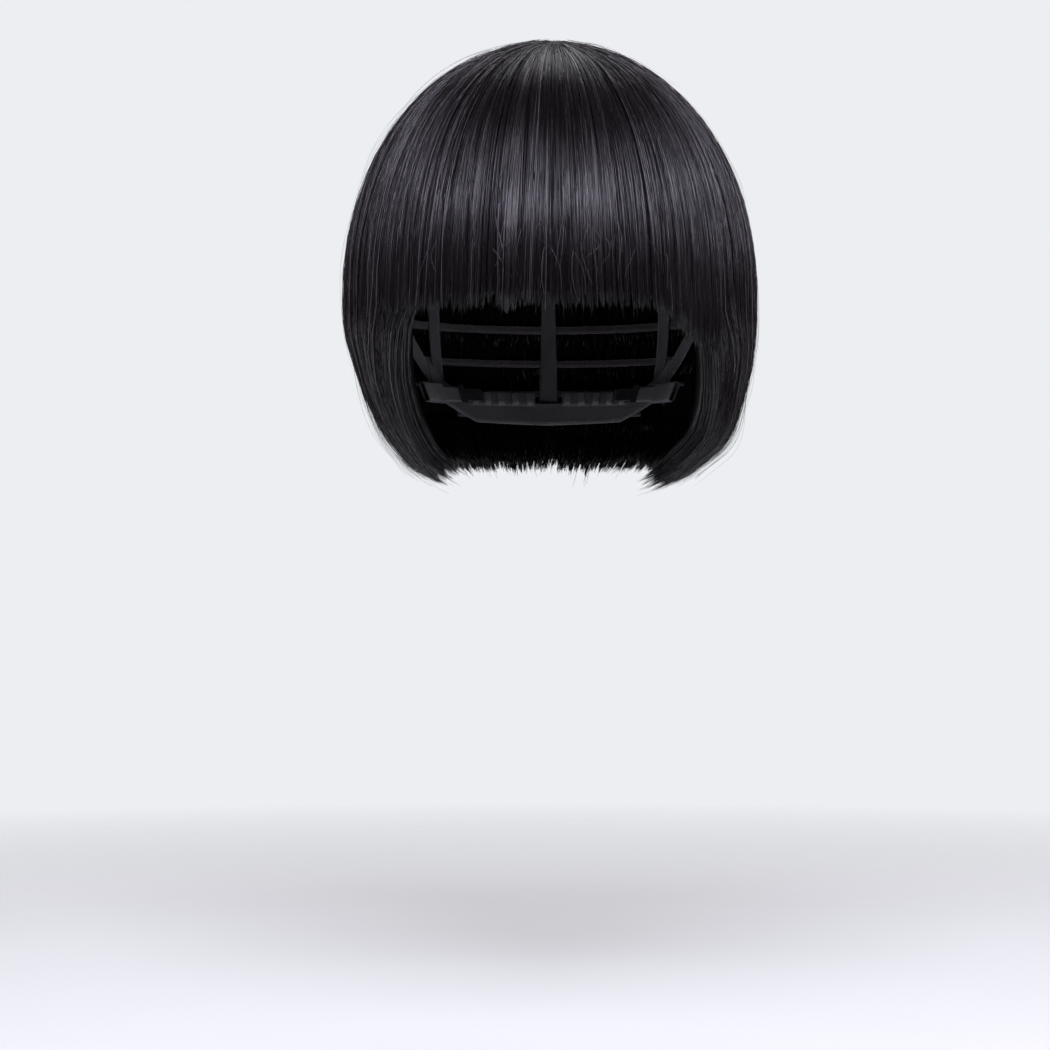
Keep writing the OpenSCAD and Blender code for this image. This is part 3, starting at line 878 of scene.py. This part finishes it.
def make_weft_hair():
    rng = np.random.default_rng(88)
    for first, last in ((0, 5), (5, 9), (9, 13)):
        weft_hair(first, last, rng)


def make_lining_hair():
    """Inside of the sides and nape below the cap's edge, down to the cut ends."""
    for section, (count, top) in LINING_HAIR.items():
        strands(f"{section}_lining_hair", section, 950 + count, count, (0.0, 1.0), roots(top, top + 1.5),
                through(0.84, 1.0), rings=10, width=0.38, wander=0.7, tip=0.45)


make_weft_hair()
make_lining_hair()

# ---------- Cap: crown net and skin top

NET_LOW, NET_GAP, NET_D = 72, 1.2, (0.30 * MM, 0.55 * MM)
POLE = 0.02  # fall at which the closed pieces start round the crown's pole
SKIN_LOW = 12


def net_low(a):
    """Lower edge of the net, a little above the bands and ear tabs."""
    under_tab = (np.abs(signed(a)) > TAB_A[0]) & (np.abs(signed(a)) < TAB_A[1])
    band_top = np.minimum(cap_edge(a) - BAND_W, np.where(under_tab, TAB_TOP, 180))
    return np.minimum(NET_LOW, band_top - NET_GAP)


def net_thread_paths():
    """Threads that wind down both ways from the crown, so that they cross in rising diamonds."""
    turn, around, steps, top = 90, 60, 60, 0.06
    start = np.linspace(0, 360, around, endpoint=False)[:, None]
    u = np.linspace(top, 1, steps)[None, :]
    for way in (-1, 1):
        a = start + way * turn * np.log(u / top) / np.log(1 / top)
        t = net_low(a) * u
        yield place(a, t, (0.15 + 0.08 * way) * MM + 0 * a), -outward(a, t)


def make_net():
    """Crown net: a fine tricot sheet with the thicker threads of the stretch net over it."""
    a, t = grid(0.0, 360.0, all_round(POLE), net_low, 121, 40)
    base = shell("crown_net_tricot", a, t, NET_D[0] + 0 * a, NET_D[1] + 0 * a, [NET])
    on_body(base, nodes=["crown_net"])
    path, out = (np.concatenate(x) for x in zip(*net_thread_paths()))
    threads = tubes("crown_net_threads", path, out, 0.34 * MM, [NET_THREAD])
    on_body(threads)


def make_skin_top():
    """Disc of film over the whorl, with its rim thinned."""
    rows = 14
    a, t = grid(0.0, 360.0, all_round(POLE), all_round(SKIN_LOW), 73, rows)
    low, high = rounded(*RIBBON_D, rows * 2, edge=0.4)
    piece = shell("skin_top_film", a, t, low[:, rows:] + 0 * a, high[:, rows:] + 0 * a, [SKIN])
    on_body(piece, nodes=["skin_top"])


make_net()
make_skin_top()

# ---------- Nape adjusters, turned about one upright axis inside the nape band

def nape_axis(fall, side_bearing, reach):
    """Circle through the back of the nape and its sides (middle, radius, level), and the wall's lean."""
    back, aside = head(180.0, fall), head(side_bearing, fall)
    middle = float((back[1] ** 2 - aside[0] ** 2 - aside[1] ** 2) / (2 * (back[1] - aside[1])))
    above, under = head(180.0, fall - reach), head(180.0, fall + reach)
    lean = math.atan2(above[1] - under[1], above[2] - under[2])
    return middle, float(back[1] - middle), float(back[2]), lean


NAPE_Y, NAPE_R, NAPE_Z, NAPE_LEAN = nape_axis(120.0, 122.0, 4)
NAPE_CLEAR = 1.2 * MM
# Bearings from the back (B) and depths inwards from the nape wall (N)
STRAP_W, STRAP_B, STRAP_N = 8 * MM, (44, 76), (3.3 * MM, 4.2 * MM)
SLEEVE_B, SLEEVE_GAP, SLEEVE_WALL = (58, 80), 0.45 * MM, 0.5 * MM
LOOPS_B, LOOP_COUNT, LOOP_LEN = (6, 38), 5, 3
TAPE_HALF_W, TAPE_N = 4 * MM, (0.4 * MM, 0.78 * MM)
# Half of a loop's course in millimetres: height above its middle, distance from the wall
LOOP_COURSE, LOOP_HALF_T = [(3.7, 0.55), (3.1, 1.1), (2.8, 1.55), (2.2, 1.72), (0.8, 1.75)], 0.22 * MM
# Flange of a sleeve: heights above the sleeve, stitched line, and depths of its two faces
FLANGE_W, FLANGE_LINE_W = (1.6 * MM, 1.0 * MM, 0.4 * MM, -0.2 * MM), 1.0 * MM
FLANGE_BACK_N, FLANGE_FRONT_N, FLANGE_THINS = 0.5 * MM, 2.2 * MM, 0.9 * MM
FLANGE_LINE_N = 1.75 * MM


def nape_point(side, b, w, n):
    """Point at bearing b from the back, w up the slanted wall and n inwards from it."""
    b = np.radians(b)
    r = NAPE_R + w * math.sin(NAPE_LEAN) - (n + NAPE_CLEAR) * math.cos(NAPE_LEAN)
    z = NAPE_Z + w * math.cos(NAPE_LEAN) + n * math.sin(NAPE_LEAN)
    return np.stack([side * r * np.sin(b), NAPE_Y + r * np.cos(b), z + 0 * b], axis=-1)


def nape_slab(name, side, b, w, n_in, n_out, mats):
    """Slab over grids of b and w. n counts inwards, so its inner wall faces the head."""
    outer, inner = nape_point(side, b, w, n_in), nape_point(side, b, w, n_out)
    if side > 0:
        outer, inner = outer[::-1], inner[::-1]
    return slab(name, inner, outer, mats)


def make_strap(side, end):
    """Elastic strap: woven ribs across, edges rolled."""
    cols, rows = 68, 11
    b = np.linspace(*STRAP_B, cols)[:, None] + np.zeros((1, rows))
    x = np.linspace(1, -1, rows)[None, :]
    pinch = 0.25 * MM * clamp01((np.abs(x) - 0.75) / 0.25) ** 2
    height = 0.07 * MM
    rib = ribs(cols, height)[:, None]
    piece = nape_slab(f"adjuster_strap_{end}_elastic", side, b, x * STRAP_W / 2 + 0 * b,
                      STRAP_N[0] + pinch + rib + height + 0 * b, STRAP_N[1] - pinch + rib - height + 0 * b,
                      [ELASTIC])
    on_body(piece, f"strap_{end}", [f"adjuster_strap_{end}"])


def sleeve_ring(side, b, wall):
    """Rounded flat ring at each bearing b, this far outside the sleeve's hollow. The outside is gathered."""
    corner = np.linspace(0, TURN, 41)[:-1]
    across = signed_power(np.cos(corner), 0.35)
    deep = signed_power(np.sin(corner), 0.35)
    low, high = STRAP_N[0] - SLEEVE_GAP, STRAP_N[1] + SLEEVE_GAP
    gathers = 0.10 * MM * np.sin(b * 5.5)[:, None] * (wall > 0)
    w = (STRAP_W / 2 + SLEEVE_GAP + wall) * across[None, :] + 0 * b[:, None]
    n = (low + high) / 2 + ((high - low) / 2 + wall + gathers) * deep[None, :]
    return nape_point(side, b[:, None] + 0 * w, w, n)


def sleeve_quads(cols, k, side):
    """Outside, inside and the two mouths of the tube between an inner and an outer row of rings."""
    inside, outside = np.arange(2 * cols * k).reshape(2, cols, k)
    inside_next, outside_next = np.roll(inside, -1, axis=1), np.roll(outside, -1, axis=1)
    quads = np.concatenate([
        wall(outside[:-1], outside[1:], outside_next[1:], outside_next[:-1]),
        wall(inside[:-1], inside_next[:-1], inside_next[1:], inside[1:]),
        wall(inside[0], outside[0], outside_next[0], inside_next[0]),
        wall(inside[-1], inside_next[-1], outside_next[-1], outside[-1]),
    ])
    return quads if side > 0 else quads[:, ::-1]


def make_sleeve(side, end):
    """Flat tube for the strap, its outside slightly gathered."""
    b = np.linspace(*SLEEVE_B, 46)
    rings = np.stack([sleeve_ring(side, b, wall) for wall in (0.0, SLEEVE_WALL)])
    quads = sleeve_quads(*rings.shape[1:3], side)
    tube = link_mesh(f"strap_sleeve_{end}_weave", rings, quads, [], [RIBBON])
    on_body(tube, nodes=[f"strap_sleeve_{end}"])


def make_flange(side, end):
    """Upper flange of the sleeve, stitched to the band."""
    top = STRAP_W / 2 + SLEEVE_GAP
    b = np.linspace(*SLEEVE_B, 46)[:, None] + np.zeros((1, len(FLANGE_W)))
    w = top + np.array([FLANGE_W]) + 0 * b
    flange = nape_slab(f"strap_sleeve_{end}_flange", side, b, w, FLANGE_BACK_N + 0 * b,
                       FLANGE_FRONT_N - FLANGE_THINS * (w - top) / FLANGE_W[0], [RIBBON])
    on_body(flange)
    line = np.linspace(SLEEVE_B[0] + 0.5, SLEEVE_B[1] - 0.5, 40)
    zero = 0 * line
    seam = nape_point(side, line, top + FLANGE_LINE_W + zero, FLANGE_LINE_N + zero)
    inward = unit(nape_point(side, line, zero, 1 + zero) - nape_point(side, line, zero, zero))
    stitch_row(f"strap_sleeve_{end}_stitches", seam, inward, *SLEEVE_STITCH, slot="elastic")


def make_tape(side, end):
    """Tape that carries the loops."""
    b = np.linspace(*LOOPS_B, 66)[:, None] + np.zeros((1, 6))
    w = np.linspace(TAPE_HALF_W, -TAPE_HALF_W, 6)[None, :] + 0 * b
    tape = nape_slab(f"hook_loops_{end}_tape", side, b, w, TAPE_N[0] + 0 * b, TAPE_N[1] + 0 * b, [RIBBON])
    on_body(tape, nodes=[f"hook_loops_{end}"])


def make_loops(side, end):
    """Row of flat loops: each is a band bowed off the tape, with its ends sewn under."""
    pitch = (LOOPS_B[1] - LOOPS_B[0] - LOOP_LEN - 2) / (LOOP_COUNT - 1)
    course = LOOP_COURSE + [(-w, n) for w, n in reversed(LOOP_COURSE)]
    height, rise = (np.array(column)[None, :] * MM for column in zip(*course))
    cols = 7
    for k in range(LOOP_COUNT):
        first = LOOPS_B[0] + 1 + k * pitch
        b = np.linspace(first, first + LOOP_LEN, cols)[:, None] + np.zeros((1, len(course)))
        n = rise + ribs(cols, 0.05 * MM)[:, None]
        loop = nape_slab(f"hook_loops_{end}_{k + 1}", side, b, height + 0 * b, n - LOOP_HALF_T,
                         n + LOOP_HALF_T, [ELASTIC])
        on_body(loop)


for side, end in ((1, "left"), (-1, "right")):
    make_strap(side, end)
    make_sleeve(side, end)
    make_flange(side, end)
    make_tape(side, end)
    make_loops(side, end)

# The hard pieces are shown as the CAD solids that they are
for node in ("strap_hook", "side_comb", "ear_stay"):
    for end in ("left", "right"):
        for material_slot in bpy.data.objects[f"{node}_{end}"].material_slots:
            material_slot.material = PLASTIC

# ---------- Flyaway hairs

def fine_hairs(name, a, t, loose, width, tip, tone, rng, spread=1.3):
    """Thin tubes at a height above the hair's surface. width and loose are in millimetres."""
    path = hang(place(a, t, thickness(a, t) + loose * MM), t)
    u = np.linspace(0, 1, t.shape[1])[None, :]
    w = width * MM * rng.uniform(0.8, spread, (len(t), 1)) * mix(1, tip, u)
    kinds, shares = tone
    tones = rng.choice(kinds, len(t), p=shares)
    return on_body(tubes(name, path, outward(a, t), w, FIBRES, tones))


def flyaways(name, seed, count, bearing, top, length, lift):
    """Fine hairs that leave the surface and curve back or end in the air."""
    rng = np.random.default_rng(seed)
    u = np.linspace(0, 1, 14)[None, :]
    one_each = (count, 1)
    a = rng.uniform(*bearing, one_each)
    t = rng.uniform(*top, one_each) + rng.uniform(*length, one_each) * u
    a = a + rng.normal(0, 5, one_each) * u ** 1.5 + rng.normal(0, 2, one_each) * np.sin(np.pi * u)
    free = rng.uniform(0, 1, one_each) < 0.4
    rise = np.where(free, u ** 1.6, np.sin(np.pi * u)) * rng.uniform(*lift, one_each)
    fine_hairs(name, *parted(a, t), rise - 0.3, 0.16, 0.4, (len(FIBRES), FLYAWAY_SHARES), rng)


def fringe_strays(seed, count):
    """Fine hairs that lie aslant across the lower fringe, most of them in the pale fibre, whose colour is a
    painted highlight.
    """
    rng = np.random.default_rng(seed)
    u = np.linspace(0, 1, 14)[None, :]
    one_each = (count, 1)
    t = rng.uniform(79, 87, one_each) + rng.uniform(5, 10, one_each) * u
    lean = rng.normal(0, 2.6, one_each) * u
    bend = rng.normal(0, 0.8, one_each) * np.sin(np.pi * u)
    a = rng.normal(0, 16, one_each) + lean + bend
    loose = 0.1 + 0.9 * np.sin(np.pi * u) * rng.uniform(0, 1, one_each)
    # Most of these strays are the pale kind; their pale colour is painted highlight standing for glints
    kinds = ([GLOSSY, BROWNISH, PALE_GLINT], [0.2, 0.2, 0.6])
    fine_hairs("fringe_strays", a, t, loose, 0.22, 0.5, kinds, rng, spread=1.2)


def end_strays(name, seed, count, side):
    """Fine loose hairs just outside a side's lower outline, curling under with the ends."""
    rng = np.random.default_rng(seed)
    u = np.linspace(0, 1, 16)[None, :]
    one_each = (count, 1)
    a = side * (rng.uniform(56, 124, one_each) + rng.normal(0, 2.5, one_each) * u)
    start = rng.uniform(94, 112, one_each)
    t = mix(start, fall_of(end_drop(a) + rng.normal(0, 2.8 * MM, one_each)), u)
    rise = 0.7 + 1.1 * rng.exponential(1.0, one_each)
    loose = rise * ease(1.5 * u) + 0.25 * np.sin(9 * u + rng.uniform(0, 6.3, one_each)) - 0.9
    fine_hairs(name, a, t, loose, 0.19, 0.5, (len(FIBRES), END_STRAY_SHARES), rng)


flyaways("crown_flyaways", 301, 170, (-180, 180), (8, 60), (15, 45), (0.6, 3.5))
flyaways("side_flyaways", 302, 150, (60, 300), (60, 110), (12, 35), (0.5, 3.0))
fringe_strays(303, 42)
end_strays("left_end_strays", 304, 260, 1)
end_strays("right_end_strays", 305, 260, -1)

# ---------- Floor, light and surroundings

FLOOR_Z, FLOOR_R = -0.449, 1.2
LIT_POINT = Vector((0, 0, -0.09))
COOL, PALE_COOL = (0.84, 0.81, 1.0), (0.94, 0.92, 1.0)
# Light: name, elevation above the front horizon (over 90 is behind), bearing, distance, width, height, watts
LIGHTS = [
    ("front_softbox", 35, 0, 1.6, 0.95, 0.50, 22, COOL),
    ("upper_softbox", 53, 0, 1.6, 0.95, 0.50, 7.5, COOL),
    ("left_softbox", 24, 84, 1.5, 0.6, 0.6, 9, COOL),
    ("right_softbox", 24, -84, 1.5, 0.6, 0.6, 5, COOL),
    ("rear_softbox", 124, 0, 1.4, 1.1, 0.6, 7, PALE_COOL),
]


def make_floor():
    """Pale floor that fades out softly towards its rim."""
    bpy.ops.mesh.primitive_circle_add(vertices=96, radius=FLOOR_R, fill_type="NGON", location=(0, 0, FLOOR_Z))
    floor = bpy.context.object
    floor.name = "floor"
    n = Nodes("floor")
    n.shader.inputs["Roughness"].default_value = 0.8
    paper = n.texture("Noise", Scale=6.0, Detail=3.0)
    n.drive("Base Color", n.ramp(paper.outputs["Fac"], (0.91, 0.935, 0.86), (0.94, 0.965, 0.89)))
    away = n.add("VectorMath", [(n.where, "Vector")], operation="LENGTH")
    n.drive("Alpha", n.span(away.outputs["Value"], 1, 0, FLOOR_R * 0.45, FLOOR_R * 0.98))
    floor.data.materials.append(n.material)


def make_light(name, elevation, bearing, away, width, height, power, colour):
    """Rectangular light that faces the wig."""
    e, b = math.radians(elevation), math.radians(bearing)
    light = bpy.data.lights.new(name, "AREA")
    light.shape = "RECTANGLE"
    light.size = width
    light.size_y = height
    light.energy = power
    light.color = colour
    obj = bpy.data.objects.new(name, light)
    way = Vector((math.sin(b) * math.cos(e), -math.cos(b) * math.cos(e), math.sin(e)))
    obj.location = LIT_POINT + away * way
    obj.rotation_euler = (LIT_POINT - obj.location).to_track_quat("-Z", "Y").to_euler()
    bpy.context.collection.objects.link(obj)


def make_world():
    """Pale backdrop behind the wig; the room in front of it is dim, so the hair stays deep black."""
    world = bpy.data.worlds.new("studio")
    world.use_nodes = True
    tree = world.node_tree
    backdrop = tree.nodes["Background"]
    backdrop.inputs["Color"].default_value = (0.84, 0.855, 0.885, 1)
    room = tree.nodes.new("ShaderNodeBackground")
    way = tree.nodes.new("ShaderNodeTexCoord")
    split = tree.nodes.new("ShaderNodeSeparateXYZ")
    ramp = tree.nodes.new("ShaderNodeMapRange")
    set_range(ramp, 0.3, 0.95, 0.03, 0.75)
    ray = tree.nodes.new("ShaderNodeLightPath")
    pick = tree.nodes.new("ShaderNodeMixShader")
    for source, target in (
            (way.outputs["Generated"], split.inputs[0]), (split.outputs["Y"], ramp.inputs["Value"]),
            (ramp.outputs["Result"], room.inputs["Strength"]),
            (ray.outputs["Is Camera Ray"], pick.inputs[0]), (room.outputs[0], pick.inputs[1]),
            (backdrop.outputs[0], pick.inputs[2]),
            (pick.outputs[0], tree.nodes["World Output"].inputs["Surface"])):
        tree.links.new(source, target)
    bpy.context.scene.world = world


make_floor()
for light_values in LIGHTS:
    make_light(*light_values)
make_world()
bpy.context.scene.view_settings.view_transform = "Standard"
